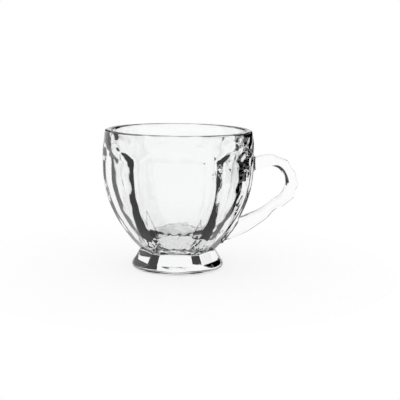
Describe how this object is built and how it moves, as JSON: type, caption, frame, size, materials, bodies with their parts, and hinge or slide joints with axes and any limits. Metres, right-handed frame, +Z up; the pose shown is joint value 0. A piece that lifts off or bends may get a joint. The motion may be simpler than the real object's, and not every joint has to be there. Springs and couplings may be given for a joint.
{
  "type": "footed glass mug",
  "caption": "Clear pressed glass mug with a panelled round-bellied bowl, a flared foot and a flat side handle with a scalloped back, for hot or cold drinks.",
  "frame": {"origin": "middle of the foot's flat underside, on the axis of the bowl", "axes": "+Z up along the axis of the bowl, +X towards the handle, +Y to the left of someone looking along +X"},
  "size_m": [0.1067, 0.0818, 0.0758],
  "materials": {
    "clear_glass": "gloss"
  },
  "bodies": {
    "root": {"bowl": "clear_glass", "foot": "clear_glass", "handle": "clear_glass"}
  },
  "joints": []
}
